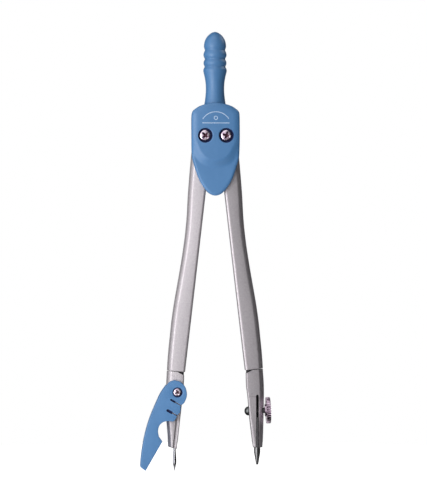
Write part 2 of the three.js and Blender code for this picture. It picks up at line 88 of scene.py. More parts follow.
PIVOT_X = joint_place("lead_leg_pivot")[0]
KNEE_X, KNEE_Z = joint_place("lead_knee")
GUARD_X, GUARD_Z = joint_place("guard_pivot")
CLAMP_X, CLAMP_Z = joint_place("clamp_screw")
CLAMP_TILT = math.atan2(JOINTS["clamp_screw"]["axis"][2], JOINTS["clamp_screw"]["axis"][0])
NEEDLE_X = sum(corner.x for corner in extent("needle")) / 2
LEAD_X = sum(corner.x for corner in extent("lead")) / 2 + 0.12  # the drawn lead lies a little outwards
PLATEAU_OUT = -extent("front_cover")[0].y
REAR_OUT = extent("rear_cover")[1].y
COVER_IN = REAR_OUT - 2.45  # the covers' inner faces, on either side of the middle
LEG_HALF = extent("needle_leg")[1].y
HUB_HALF = LEG_HALF - 0.5
PIVOT_HOLE, GUARD_HOLE = 1.32, 0.85  # radii of the holes for the pivot screws and the guard's screw
JAW_OUTER = extent("clamp_jaw")[1].x
SLOT_OUTER = JAW_OUTER + 0.85  # the slot between the jaw and the lead holder
GUARD_OUT = extent("needle_guard")[1].y
SEAM_X, SEAM_SLOPE = KNEE_X + 0.8, 0.1
SEAM_Z = {-1: KNEE_Z - 1.6, 1: KNEE_Z - 1.05}  # by side: the lead leg is cut a little higher
REAR_INSET = 0.3  # how far the rear cover stands inside the front cover's outline
LOBE_DROP = 1.1  # how far the lower lobe lies behind the plateau

# ---- Curves ----


def curve(points, per, closed=False):
    """Smooth curve through points, with `per` steps in each span."""
    p = np.array(points, float)
    n = len(p)
    if closed:
        p = np.vstack([p[-1:], p, p[:2]])
    else:
        p = np.vstack([2 * p[0] - p[1], p, 2 * p[-1] - p[-2]])
    knots = np.concatenate([[0], np.cumsum(np.linalg.norm(np.diff(p, axis=0), axis=1) ** 0.5)])
    made = []
    for i in range(1, (n if closed else n - 1) + 1):
        before, here, there, after = p[i - 1 : i + 3]
        t0, t1, t2, t3 = knots[i - 1 : i + 3]
        out_of = (there - before) / (t2 - t0) * (t2 - t1)
        into = (after - here) / (t3 - t1) * (t2 - t1)
        for t in np.arange(per) / per:
            a, b = 2 * t**3 - 3 * t**2 + 1, t**3 - 2 * t**2 + t
            c, d = -2 * t**3 + 3 * t**2, t**3 - t**2
            made.append(a * here + b * out_of + c * there + d * into)
    if not closed:
        made.append(p[-2])
    return np.array(made)


def even(points, count):
    """A closed outline with `count` points spaced evenly along it."""
    loop = np.vstack([points, points[:1]])
    along = np.concatenate([[0], np.cumsum(np.linalg.norm(np.diff(loop, axis=0), axis=1))])
    at = np.arange(count) * along[-1] / count
    return np.column_stack([np.interp(at, along, loop[:, k]) for k in (0, 1)])


def edge(points):
    """A leg's edge through [height, distance from the middle], read at a height."""
    fine = curve(points, 12)
    order = np.argsort(fine[:, 0])
    return lambda z: float(np.interp(z, fine[order, 0], fine[order, 1]))


def smoothstep(low, high, x):
    t = np.clip((x - low) / (high - low), 0, 1)
    return t * t * (3 - 2 * t)


def filleted(corners, radii, steps=3):
    """A closed polygon with each corner rounded to its radius, as steps + 1 points a corner."""
    p = np.array(corners, float)
    made = []
    for i, radius in enumerate(radii):
        corner = p[i]
        back = p[i - 1] - corner
        on = p[(i + 1) % len(p)] - corner
        back_length, on_length = np.linalg.norm(back), np.linalg.norm(on)
        reach = min(radius, 0.48 * back_length, 0.48 * on_length)
        a = corner + back / back_length * reach
        b = corner + on / on_length * reach
        for t in np.linspace(0, 1, steps + 1):
            made.append((1 - t) ** 2 * a + 2 * t * (1 - t) * corner + t**2 * b)
    return np.array(made)


def inside_distance(points, outline):
    """Distance from each point to a closed outline, negative outside it."""
    a, b = outline, np.roll(outline, -1, axis=0)
    d = b - a
    rel = points[:, None, :] - a[None]
    t = np.clip((rel * d).sum(2) / (d * d).sum(1), 0, 1)
    gap = np.linalg.norm(rel - t[..., None] * d, axis=2).min(1)
    x, z = points[:, 0:1], points[:, 1:2]
    crosses = (a[:, 1] > z) != (b[:, 1] > z)
    with np.errstate(divide="ignore", invalid="ignore"):
        meets = a[:, 0] + (z - a[:, 1]) / (b[:, 1] - a[:, 1]) * d[:, 0]
    inside = (crosses & (x < meets)).sum(1) % 2 == 1
    return np.where(inside, gap, -gap)


# ---- Meshes ----


def placed(name, data):
    """A new object in the scene."""
    made = bpy.data.objects.new(name, data)
    bpy.context.scene.collection.objects.link(made)
    return made


def shape(vertices, faces):
    """A bare mesh object, in millimetres, with its faces pointing out."""
    mesh = bpy.data.meshes.new("shape")
    mesh.from_pydata([tuple(v) for v in vertices], [], [tuple(f) for f in faces])
    mesh.validate()
    if volume(mesh) < 0:
        mesh.flip_normals()
    return placed("shape", mesh)


def volume(mesh):
    """Six times the volume of a closed mesh, negative where its faces point in."""
    mesh.calc_loop_triangles()
    corners = [[mesh.vertices[i].co for i in triangle.vertices] for triangle in mesh.loop_triangles]
    return sum(a.dot(b.cross(c)) for a, b, c in corners)


def bands(rings, size, closed=False):
    """Faces between rings of `size` points that follow each other, and back to the first if closed."""
    faces = []
    for r in range(rings if closed else rings - 1):
        here, there = r * size, (r + 1) % rings * size
        for i in range(size):
            j = (i + 1) % size
            faces.append((here + i, here + j, there + j, there + i))
    return faces


def skin(rings):
    """Rings of as many points each, skinned in order and closed by a flat face at each end."""
    rings = np.array(rings, float)
    count, size = rings.shape[:2]
    faces = bands(count, size)
    faces.append(tuple(range(size))[::-1])
    faces.append(tuple((count - 1) * size + i for i in range(size)))
    return shape(rings.reshape(-1, 3), faces)


def turned(profile, place, sides=64):
    """A profile of [radius, distance] turned about a line; place maps (across, along, up) to a point.
    A zero radius at either end makes a pole there."""
    profile = np.array(profile, float)
    rims = [p for p in profile if p[0] > 1e-6]
    angles = np.arange(sides) * 2 * math.pi / sides
    vertices = [place(r * math.cos(a), t, r * math.sin(a)) for r, t in rims for a in angles]
    faces = bands(len(rims), sides)
    for end, first in ((0, 0), (-1, (len(rims) - 1) * sides)):
        rim = [first + i for i in range(sides)]
        if profile[end][0] > 1e-6:
            faces.append(tuple(rim))
            continue
        vertices.append(place(0, profile[end][1], 0))
        pole = len(vertices) - 1
        faces += [(rim[i], rim[(i + 1) % sides], pole) for i in range(sides)]
    made = shape(vertices, faces)
    consistent(made)
    return made


def ring_turned(profile, place, sides=64):
    """A closed profile turned about a line that it doesn't touch."""
    angles = np.arange(sides) * 2 * math.pi / sides
    vertices = [place(r * math.cos(a), t, r * math.sin(a)) for a in angles for r, t in profile]
    made = shape(vertices, bands(sides, len(profile), closed=True))
    consistent(made)
    return made


def consistent(made, weld=0.0):
    """Joins vertices that lie within weld of each other and makes every face point out."""
    work = bmesh.new()
    work.from_mesh(made.data)
    if weld:
        bmesh.ops.remove_doubles(work, verts=work.verts, dist=weld)
    bmesh.ops.recalc_face_normals(work, faces=work.faces)
    work.to_mesh(made.data)
    work.free()


def along_y(x, z):
    """A line from front to back."""
    return lambda across, along, up: (x + across, along, z + up)


def along_z(x):
    """An upright line in the compass's middle plane."""
    return lambda across, along, up: (x + across, up, along)


along_guard = along_y(GUARD_X, GUARD_Z)


def along_clamp(across, along, up):
    """Along the clamp screw, which rises a little outwards."""
    c, s = math.cos(CLAMP_TILT), math.sin(CLAMP_TILT)
    return (CLAMP_X + along * c - up * s, across, CLAMP_Z + along * s + up * c)


def bore(radius, front, back, place, sides=64):
    """A plain cylinder between two distances along a line, mostly to cut a hole."""
    return turned([[0, front], [radius, front], [radius, back], [0, back]], place, sides)


def hexagon(x, y, radius):
    """A hexagon about a pivot line, with two corners to the sides."""
    angles = np.radians(np.arange(6) * 60 + 90)
    return [(x + radius * math.sin(a), y, radius * math.cos(a)) for a in angles]


def block(x0, x1, y0, y1, z0, z1):
    ring = [(x0, y0), (x1, y0), (x1, y1), (x0, y1)]
    return skin([[(x, y, z) for x, y in ring] for z in (z0, z1)])


def plate(outline, front, back):
    """An outline in front view, as a plate between two depths."""
    return skin([[(x, y, z) for x, z in outline] for y in (front, back)])


def worked(body, operation, tools):
    """body cut by or joined to tools, which are used up."""
    for tool in tools:
        step = body.modifiers.new("work", "BOOLEAN")
        step.operation = operation
        step.solver = "EXACT"
        step.object = tool
    bpy.context.view_layer.update()
    result = body.evaluated_get(bpy.context.evaluated_depsgraph_get())
    mesh = bpy.data.meshes.new_from_object(result)
    body.modifiers.clear()
    body.data = mesh
    for tool in tools:
        bpy.data.objects.remove(tool)
    return body


def cut(body, *tools):
    return worked(body, "DIFFERENCE", tools)


def join(body, *tools):
    return worked(body, "UNION", tools)


def settle(made, name, body, nodes, look, crease=38):
    """Turns a finished shape into metres in the frame and hands it to its body."""
    scale = Matrix.Translation((0, 0, PIVOT_HEIGHT / 1000)) @ Matrix.Scale(0.001, 4)
    made.data.transform(scale)
    made.data.shade_smooth()
    made.data.set_sharp_from_angle(angle=math.radians(crease))
    if not made.data.materials:
        made.data.materials.append(look)
    made.name = name
    made.data.name = name
    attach(made, body)
    if nodes:
        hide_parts(*nodes)


def darken(made, look, shade_look, where):
    """Gives the faces of a recess a second, dark material that paints shade into it."""
    made.data.materials.clear()
    made.data.materials.append(look)
    made.data.materials.append(shade_look)
    for face in made.data.polygons:
        face.material_index = 1 if where(*face.center) else 0


# ---- Materials ----

PER_MM = 1000.0  # object coordinates are metres, so a texture scale of 1 repeats each metre


class Nodes:
    """A shader node tree in the making."""

    def __init__(self, tree):
        self.tree = tree

    def node(self, kind, inputs=None, **settings):
        made = self.tree.nodes.new("ShaderNode" + kind)
        for key, value in settings.items():
            setattr(made, key, value)
        for key, value in (inputs or {}).items():
            self.feed(made.inputs[key], value)
        return made

    def feed(self, socket, value):
        if isinstance(value, bpy.types.NodeSocket):
            self.tree.links.new(value, socket)
        else:
            socket.default_value = value

    def math(self, operation, a, b):
        return self.node("Math", {0: a, 1: b}, operation=operation).outputs[0]

    def spread(self, value, low, high, to_low, to_high, shape="LINEAR"):
        """value carried from one range to another, and held inside it."""
        inputs = {"Value": value, "From Min": low, "From Max": high, "To Min": to_low, "To Max": to_high}
        return self.node("MapRange", inputs, interpolation_type=shape).outputs["Result"]


class Look(Nodes):
    """A node material in the making."""

    def __init__(self, name, **sockets):
        self.material = bpy.data.materials.new(name)
        self.material.use_nodes = True
        super().__init__(self.material.node_tree)
        self.surface = self.tree.nodes["Principled BSDF"]
        for socket, value in sockets.items():
            self.surface.inputs[socket.replace("_", " ")].default_value = value
        self.place = self.node("TexCoord").outputs["Object"]

    def stretched(self, x, y, z):
        """Object coordinates scaled along each axis, to draw a texture out."""
        return self.node("Mapping", {"Vector": self.place, "Scale": (x, y, z)}).outputs["Vector"]

    def noise(self, per_mm, detail=3.0, rough=0.5, place=None):
        """Noise with about this many features to the millimetre."""
        inputs = {"Scale": per_mm * PER_MM, "Detail": detail, "Roughness": rough}
        inputs["Vector"] = place or self.place
        return self.node("TexNoise", inputs).outputs["Fac"]

    def cells(self, per_mm):
        """A random number for each of the cells that a surface falls into."""
        cells = self.node("TexVoronoi", {"Vector": self.place, "Scale": per_mm * PER_MM})
        return self.node("SeparateColor", {"Color": cells.outputs["Color"]}).outputs["Red"]

    def blend(self, factor, one, other):
        inputs = {"Factor": factor, "A": one, "B": other}
        return self.node("Mix", inputs, data_type="RGBA").outputs["Result"]

    def relief(self, height, depth_mm, strength=1.0, under=None):
        """Bump of this depth, over another bump if one is given."""
        inputs = {"Height": height, "Distance": depth_mm / PER_MM, "Strength": strength}
        if under:
            inputs["Normal"] = under
        return self.node("Bump", inputs).outputs["Normal"]

    def use(self, socket, value):
        self.feed(self.surface.inputs[socket], value)

    def tint(self, pattern, low, high, one, other):
        """A base colour that goes from one to the other as the pattern goes from low to high."""
        between = self.spread(pattern, low, high, 0.0, 1.0)
        self.use("Base Color", self.blend(between, colour(*one), colour(*other)))

    def done(self, height, depth_mm, strength, under=None):
        """The finished material, with this relief on it."""
        self.use("Normal", self.relief(height, depth_mm, strength, under))
        return self.material

    def polish(self, pattern, least, most):
        """A roughness that follows a noise."""
        self.use("Roughness", self.spread(pattern, 0.3, 0.7, least, most))


def colour(r, g, b):
    return (r, g, b, 1.0)


def blue_plastic():
    """Satin moulded plastic with a fine spark texture, faint flow marks and rubbed high spots."""
    look = Look("blue_plastic", IOR=1.48, Coat_Weight=0.08, Coat_Roughness=0.3)
    flow = look.noise(0.35, 4.0, 0.6, look.stretched(1, 1, 0.4))
    look.tint(flow, 0.3, 0.7, (0.066, 0.186, 0.39), (0.077, 0.205, 0.42))
    rubbed = look.noise(1.3, 3.0, 0.65)
    look.polish(rubbed, 0.34, 0.46)
    grain = look.relief(look.noise(9.0, 2.0, 0.6), 0.012, 0.35)
    hairlines = look.noise(3.0, 2.0, 0.4, look.stretched(1.0, 1.0, 0.08))
    return look.done(hairlines, 0.006, 0.3, grain)


def silver_paint():
    """Hammered silver-grey paint on die-cast metal: flakes that sparkle in an orange-peel coat."""
    look = Look("silver_paint", Metallic=0.86, Coat_Weight=0.08, Coat_Roughness=0.4)
    glint = look.cells(7.0)
    mottle = look.spread(look.noise(1.6, 4.0, 0.7), 0.3, 0.7, 0.0, 1.0)
    grey = look.blend(mottle, colour(0.46, 0.415, 0.455), colour(0.56, 0.53, 0.55))
    look.use("Base Color", look.blend(look.math("MULTIPLY", glint, 0.3), grey, colour(0.78, 0.76, 0.78)))
    look.use("Roughness", look.spread(glint, 0.0, 1.0, 0.42, 0.66))
    peel = look.relief(look.noise(2.2, 3.0, 0.55), 0.035, 0.5)
    return look.done(glint, 0.012, 0.5, peel)


def nickel(name, light, dark, smooth=0.14, rough=0.3):
    """Nickel plate with fine turning marks, its base colour tinted pink and mottled light and dark as
    painted reflections.
    """
    look = Look(name, Metallic=1.0)
    reflection_mottle = look.noise(1.1, 3.0, 0.6)
    look.tint(reflection_mottle, 0.35, 0.65, light, dark)
    look.polish(look.noise(4.0, 3.0, 0.6), smooth, rough)
    return look.done(look.noise(7.0, 3.0, 0.6), 0.01, 0.35)


def recess_shade(name, grain, tones, least, most, pits, **sockets):
    """Painted shade for a surface down in a recess: a darkened copy of its material, mottled by a noise.
    tones are a noise's low and high and two colours, and pits are so many to the millimetre and so deep."""
    look = Look(name, **sockets)
    painted_shade = look.noise(grain, 3.0, 0.6)
    look.tint(painted_shade, *tones)
    look.polish(painted_shade, least, most)
    return look.done(look.noise(pits[0]), pits[1], 0.4)


# Dark looks that paint shade into recesses, slots and seams, on metal, paint and plastic.
def shade_metal():
    tones = (0.4, 0.6, (0.06, 0.015, 0.03), (0.16, 0.07, 0.1))
    return recess_shade("shade_metal", 2.5, tones, 0.35, 0.6, (7.0, 0.01), Metallic=0.8)


def shade_paint():
    tones = (0.35, 0.65, (0.02, 0.02, 0.025), (0.06, 0.055, 0.06))
    return recess_shade("shade_paint", 2.0, tones, 0.55, 0.75, (6.0, 0.012), Metallic=0.5)


def shade_plastic():
    tones = (0.35, 0.65, (0.008, 0.014, 0.07), (0.018, 0.028, 0.12))
    return recess_shade("shade_plastic", 2.0, tones, 0.5, 0.7, (7.0, 0.01), IOR=1.45, Specular_IOR_Level=0.3)


def steel():
    """Ground steel, with fine marks round the piece."""
    look = Look("steel", Metallic=1.0)
    marks = look.noise(3.0, 3.0, 0.6, look.stretched(0.3, 0.3, 3.0))
    look.tint(marks, 0.3, 0.7, (0.3, 0.3, 0.33), (0.42, 0.42, 0.45))
    look.polish(marks, 0.18, 0.34)
    return look.done(marks, 0.008, 0.3)


def nylon():
    """Natural nylon, waxy and a little cloudy."""
    look = Look("nylon", Subsurface_Weight=0.1)
    look.surface.inputs["Subsurface Scale"].default_value = 0.0005
    cloud = look.noise(1.0, 3.0, 0.5)
    look.use("Base Color", look.blend(cloud, colour(0.7, 0.68, 0.6), colour(0.78, 0.76, 0.7)))
    look.polish(cloud, 0.45, 0.6)
    return look.done(look.noise(6.0), 0.01, 0.3)


def graphite():
    """Polished graphite with streaks along the lead."""
    look = Look("graphite", Metallic=0.85)
    streaks = look.noise(5.0, 3.0, 0.6, look.stretched(1.0, 1.0, 0.1))
    look.tint(streaks, 0.3, 0.7, (0.1, 0.1, 0.104), (0.22, 0.22, 0.225))
    look.polish(streaks, 0.12, 0.24)
    return look.done(streaks, 0.01, 0.4)


def print_ink():
    """Pad-printed pale ink, a little worn."""
    look = Look("print_ink", Specular_IOR_Level=0.3)
    worn = look.noise(2.5, 4.0, 0.7)
    look.tint(worn, 0.45, 0.75, (0.52, 0.64, 0.8), (0.3, 0.46, 0.68))
    look.polish(worn, 0.45, 0.6)
    return look.done(look.noise(8.0), 0.006, 0.3)


BLUE, SILVER, STEEL = blue_plastic(), silver_paint(), steel()
# Copies of one nickel: the screws' copy is brightened as a painted highlight, and the dull copy is rougher
# and darkened as painted shade.
NICKEL = nickel("nickel", (0.92, 0.82, 0.9), (0.6, 0.44, 0.58))
DULL_SHADED_NICKEL = nickel("dull_shaded_nickel", (0.17, 0.18, 0.18), (0.11, 0.11, 0.12), 0.34, 0.48)
KNOB_NICKEL = nickel("knob_nickel", (0.72, 0.6, 0.7), (0.5, 0.4, 0.49))
SHADE_METAL, SHADE_PLASTIC, SHADE_PAINT = shade_metal(), shade_plastic(), shade_paint()
NYLON, GRAPHITE, INK = nylon(), graphite(), print_ink()
# The finish that each look belongs to.
FINISH = {BLUE: "blue_plastic", INK: "blue_plastic", SILVER: "silver_paint", STEEL: "steel"}
FINISH |= {NICKEL: "nickel", KNOB_NICKEL: "nickel", NYLON: "nylon", GRAPHITE: "graphite"}

# ---- Handle ----


def handle_grip():
    ribs = [
        [3.42, 10.2], [3.18, 11.7], [3.0, 13.4], [2.93, 15.2], [3.05, 17.2], [3.4, 19.2], [3.72, 20.5],
        [3.74, 21.2], [3.42, 21.9], [3.36, 22.25], [3.58, 22.75], [3.68, 23.35], [3.55, 23.95],
        [3.32, 24.4], [3.32, 24.75], [3.58, 25.3], [3.7, 26.0], [3.5, 26.8], [3.27, 27.3], [3.3, 27.65],
        [3.5, 28.3], [3.54, 28.9], [3.42, 29.8], [3.12, 30.75], [2.6, 31.65], [1.85, 32.45],
        [0.95, 33.05], [0.3, 33.26],
    ]
    inside = [[0, 5.2], [2.0, 5.2], [2.0, 7.9], [3.4, 7.9]]
    profile = np.vstack([inside, curve(ribs, 6), [[0, 33.29]]])
    grip = turned(profile, along_z(0), 96)
    settle(grip, "grip_moulding", "housing", ["handle_grip"], BLUE)


handle_grip()

# ---- Covers ----

COVER_EDGE = [
    [0, 10.42], [2.7, 10.12], [5.0, 9.42], [6.45, 8.55], [7.15, 7.98], [7.5, 7.4], [7.64, 6.4],
    [7.7, 3.0], [7.7, -2.0], [7.62, -5.6], [7.48, -7.2], [6.93, -9.2], [6.05, -12.0], [4.8, -14.9],
    [3.3, -17.1], [1.8, -18.6],
]
# The slope under the plateau runs between these two edges, which pass out of the cover at its sides.
SLOPE_TOP = [
    [0, 14.0], [6.0, 13.5], [9.0, 9.0], [9.4, 2.0], [7.4, -0.6], [5.7, -2.6], [4.5, -5.1], [2.7, -7.05],
]
SLOPE_FOOT = [
    [0, 17.0], [8.0, 16.0], [12.0, 9.0], [12.0, 2.0], [9.8, -2.2], [7.7, -5.4], [6.1, -7.7],
    [4.3, -9.2], [2.3, -10.05],
]


EDGE_POINTS = 220


def symmetric(half, low):
    """A closed outline from its right half, top first, and its lowest point in the middle."""
    left = [[-x, z] for x, z in half[1:][::-1]]
    return even(curve([*half, [0, low], *left], 14, closed=True), EDGE_POINTS)


OUTLINE = symmetric(COVER_EDGE, -19.15)
TOP_EDGE = symmetric(SLOPE_TOP, -7.85)
FOOT_EDGE = symmetric(SLOPE_FOOT, -10.35)
COVER_MIDDLE = np.array([0, -1.5])


def rounding(distance, width, depth):
    """How far an elliptically rounded edge has fallen at a distance in from it."""
    short = 1 - np.clip(distance / width, 0, 1)
    return depth * (1 - np.sqrt(1 - short**2))


HALF_WIDE = 7.8
LOBE_CROWN, PLATEAU_CROWN = 0.15, 0.32  # how far the surface falls away from the middle to its sides


def front_height(points):
    """The front cover's surface, as its distance in front of the compass's middle."""
    from_edge = np.maximum(inside_distance(points, OUTLINE), 0)
    over_foot = np.maximum(inside_distance(points, FOOT_EDGE), 0)
    under_top = np.maximum(-inside_distance(points, TOP_EDGE), 0)
    ramp = over_foot / np.maximum(over_foot + under_top, 1e-6)
    soft = 0.45 * ramp + 0.55 * smoothstep(0, 1, ramp)
    across = np.clip(points[:, 0] / HALF_WIDE, -1, 1)
    lobe = PLATEAU_OUT - LOBE_DROP - LOBE_CROWN * across**2 - rounding(from_edge, 0.8, 0.75)
    plateau = PLATEAU_OUT - PLATEAU_CROWN * across**2 - rounding(from_edge, 2.3, 0.95)
    return lobe + (np.maximum(plateau, lobe) - lobe) * soft


def rear_height(points):
    from_edge = np.maximum(inside_distance(points, OUTLINE) - REAR_INSET, 0)
    return REAR_OUT - rounding(from_edge, 1.3, 1.0)


def drawn_in(outline, inset):
    """The outline moved towards the cover's middle by a distance."""
    away = outline - COVER_MIDDLE
    reach = np.linalg.norm(away, axis=1, keepdims=True)
    return COVER_MIDDLE + away * np.maximum(1 - inset / reach, 0)


def shell(height, side, drawn):
    """A cover from its inner face out to its moulded surface. side is -1 at the front."""
    insets = [0.0, 0.02, 0.07, 0.15, 0.26, 0.4, 0.55, 0.75, 1.0]
    rings = [
        [(x, side * COVER_IN, z) for x, z in drawn_in(OUTLINE, drawn + 0.12)],
        [(x, side * (COVER_IN + 0.12), z) for x, z in drawn_in(OUTLINE, drawn)],
    ]
    layers = [drawn_in(OUTLINE, drawn + inset) for inset in insets]
    shrink = np.linspace(1, 0.012, 52)[1:]  # on towards the middle, down to a tiny ring
    layers += [COVER_MIDDLE + (layers[-1] - COVER_MIDDLE) * s for s in shrink]
    for layer in layers:
        rings.append([(x, side * h, z) for (x, z), h in zip(layer, height(layer))])
    return skin(rings)


RIM_WIDE = 1.6
RIM_LOW = 4.2  # the wall ends at this height, so that the legs can swing out below it


def rim(side):
    """The wall round the cover's shoulders, which meets the other cover's."""
    near, far = side * 0.06, side * (COVER_IN + 0.4)
    edges = ((REAR_INSET + 0.1, near), (REAR_INSET, near + side * 0.1), (REAR_INSET, far))
    wall = skin([[(x, y, z) for x, z in drawn_in(OUTLINE, inset)] for inset, y in edges])
    hollow = plate(drawn_in(OUTLINE, RIM_WIDE), -9, 9)
    return cut(wall, hollow, block(-12, 12, -9, 9, -30, RIM_LOW))


def neck_room():
    """What both covers lose round the handle's root, with a rolled lip at the mouth."""
    lip = [[0, 7.75], [3.72, 7.75], [3.72, 10.0], [3.8, 10.25], [4.2, 10.6], [4.2, 14], [0, 14]]
    return turned(lip, along_z(0), 72)


RECESS_R = 2.28


def recess(x):
    """A screw's counterbore, with a rolled lip, and its hole."""
    lip = PLATEAU_OUT
    profile = [
        [0, -lip - 1], [2.75, -lip - 1], [2.75, -lip - 0.02], [2.47, -lip + 0.04], [2.35, -lip + 0.14],
        [RECESS_R + 0.02, -lip + 0.3], [RECESS_R, -lip + 1.15], [RECESS_R - 0.08, -lip + 1.2],
        [PIVOT_HOLE, -lip + 1.2], [PIVOT_HOLE, 0], [0, 0],
    ]
    return turned(profile, along_y(x, 0), 72)


def nut_pocket(x):
    """A nut's six-sided pocket in the rear cover, a little wider at its mouth."""
    rings = [(2.98, 3.2), (2.98, REAR_OUT - 0.15), (3.1, REAR_OUT - 0.03), (3.4, REAR_OUT + 0.2)]
    return skin([hexagon(x, y, r) for r, y in rings])


def covers():
    front = join(shell(front_height, -1, 0.0), rim(-1))
    front = cut(front, neck_room(), recess(-PIVOT_X), recess(PIVOT_X))
    # The counterbores' deep faces get a dark navy look: painted shade.
    in_recess = lambda x, z: min(math.hypot(x - PIVOT_X, z), math.hypot(x + PIVOT_X, z)) < RECESS_R + 0.08
    darken(front, BLUE, SHADE_PLASTIC, lambda x, y, z: in_recess(x, z) and y > 0.12 - PLATEAU_OUT)
    settle(front, "front_cover_moulding", "housing", ["front_cover"], BLUE)
    rear = join(shell(rear_height, 1, REAR_INSET), rim(1))
    holes = [bore(PIVOT_HOLE, 0, 6, along_y(x, 0)) for x in (-PIVOT_X, PIVOT_X)]
    rear = cut(rear, neck_room(), nut_pocket(-PIVOT_X), nut_pocket(PIVOT_X), *holes)
    settle(rear, "rear_cover_moulding", "housing", ["rear_cover"], BLUE)


covers()

# ---- Pivot screws, nuts and washers ----


def cross_blades(x, z, turn, face, depth, reach, width):
    """A cross-head recess: two tapered blades crossed, wider at the mouth."""
    blades = []
    for angle in (turn, turn + math.pi / 2):
        c, s = math.cos(angle), math.sin(angle)
        rings = []
        for y, half_length, half_width in (
            (face - 0.6, reach * 1.15, width * 0.62),
            (face, reach, width / 2),
            (face + depth * 0.55, reach * 0.62, width * 0.42),
            (face + depth, reach * 0.22, width * 0.3),
        ):
            corners = [(-1, -1), (1, -1), (1, 1), (-1, 1)]
            ring = [(u * half_length, v * half_width) for u, v in corners]
            rings.append([(x + u * c - v * s, y, z + u * s + v * c) for u, v in ring])
        blades.append(skin(rings))
    return blades


def cross_screw(node, body, place, profile, turn, blades, painted_shade, sides=72):
    """A cross-head screw at a place across and up. Its recess is painted dark as shade, as far across and
    from the depth to the depth that the shade argument gives."""
    x, z = place
    screw = cut(turned(profile, along_y(x, z), sides), *cross_blades(x, z, turn, *blades))
    wide, front, back = painted_shade
    within = lambda px, pz: math.hypot(px - x, pz - z) < wide
    # The cross recess gets a dark look: painted shade.
    darken(screw, NICKEL, SHADE_METAL, lambda px, py, pz: within(px, pz) and front < py < back)
    settle(screw, f"{node}_plated", body, [node], NICKEL, 30)


def pivot_screw(label, x, turn):
    top, r = -4.74, 1.74  # the head's face and radius
    profile = [
        [0, 4.25], [1.1, 4.25], [1.25, 4.1], [1.25, -3.9], [r - 0.07, -3.9], [r, -3.97],
        [r, top + 0.36], [r - 0.05, top + 0.22], [r - 0.18, top + 0.12], [r - 0.42, top + 0.06],
        [r - 0.9, top + 0.02], [0, top],
    ]
    blades, painted_shade = (top, 0.85, 1.42, 0.72), (r - 0.12, top + 0.2, -3.8)
    cross_screw(f"pivot_screw_{label}", "housing", (x, 0), profile, turn, blades, painted_shade)


def pivot_nut(label, x):
    rings = [(2.7, 3.3), (2.84, 3.38), (2.84, 4.55), (2.66, 4.7)]
    hole = turned([[0, 3], [1.45, 3], [1.3, 3.4], [1.3, 4.6], [1.5, 4.8], [0, 5]], along_y(x, 0))
    nut = cut(skin([hexagon(x, y, r) for r, y in rings]), hole)
    settle(nut, f"pivot_nut_{label}_plated", "housing", [f"pivot_nut_{label}"], STEEL, 30)


def washer(node, x, front, back):
    profile = [[1.34, front], [2.8, front], [2.9, front + 0.1]]
    profile += [[2.9, back - 0.1], [2.8, back], [1.34, back]]
    made = ring_turned(profile, along_y(x, 0), 48)
    settle(made, f"{node}_disc", "housing", [node], NYLON)


for label, x, turn in (("left", -PIVOT_X, 0.8), ("right", PIVOT_X, 1.25)):
    pivot_screw(label, x, turn)
    pivot_nut(label, x)
    washer(f"front_washer_{label}", x, -2.25, -1.6)
    washer(f"rear_washer_{label}", x, 1.6, 2.25)

# ---- Legs ----

UPPER_OUTER = edge([
    [-2, 7.2], [-7.7, 7.8], [-18.2, 8.67], [-25.9, 9.1], [-31.7, 9.66], [-36.5, 10.3],
    [-42.2, 11.2], [-48, 12.2], [-53.8, 13.2], [-59.5, 14.0], [-64.3, 14.5], [-68.2, 14.9],
    [-73, 15.28], [-78, 15.5],
])


def upper_inner(z):
    """The upper leg's inner edge, which is straight."""
    return 0.925 - 0.1162 * z


def bar(side, outer, inner, stations, corners, radii):
    """A bar along a leg. stations are (height, slope across, inset); corners gives the front half of
    the section from the inner to the outer edge, and the back half mirrors it."""
    rings = []
    for z, slope, inset in stations:
        o, i = outer(z) - inset, inner(z) + inset
        half = [(u, max(y - inset, 0.05)) for u, y in corners(z, i, o)]
        section = half + [(u, -y) for u, y in half[::-1]]
        around = filleted(section, [*radii(z), *radii(z)[::-1]])
        rings.append([(side * u, y, z + slope * (u - SEAM_X)) for u, y in around])
    return skin(rings)


def leg_corners(z, i, o):
    face = [(i, LEG_HALF - 0.27), (i + 0.55, LEG_HALF), (o - 1.3, LEG_HALF - 0.3)]
    return [*face, (o - 0.45, 0.95), (o, 0.05)]


def leg_radii(z):
    return [0.25, 0.3, 0.35, 0.5, 0.1]


def heights(top, bottom, step, slopes, rounds):
    """Stations from top to bottom, with the slope and the rounding at either end."""
    plain = np.linspace(top - 3 * rounds[0], bottom + 3 * rounds[1], round((top - bottom) / step) + 1)
    between = smoothstep(0.0, 1.0, (top - plain) / (top - bottom))
    stations = [(z, slopes[0] + (slopes[1] - slopes[0]) * t, 0.0) for z, t in zip(plain, between)]
    quarter = [(math.cos(a), math.sin(a)) for a in np.radians([22.5, 45, 67.5, 90])]
    r = rounds[0]
    above = [(top - r + r * up, slopes[0], r * (1 - c)) for c, up in quarter[::-1]]
    r = rounds[1]
    below = [(bottom + r - r * up, slopes[1], r * (1 - c)) for c, up in quarter]
    return above + stations + below


TEETH = 12
PRESSURE_ANGLE = math.radians(25)
MODULUS = 2 * PIVOT_X / TEETH
TIP_R, ROOT_R = PIVOT_X + 0.8 * MODULUS, PIVOT_X - 1.12 * MODULUS
BACKLASH = 0.14


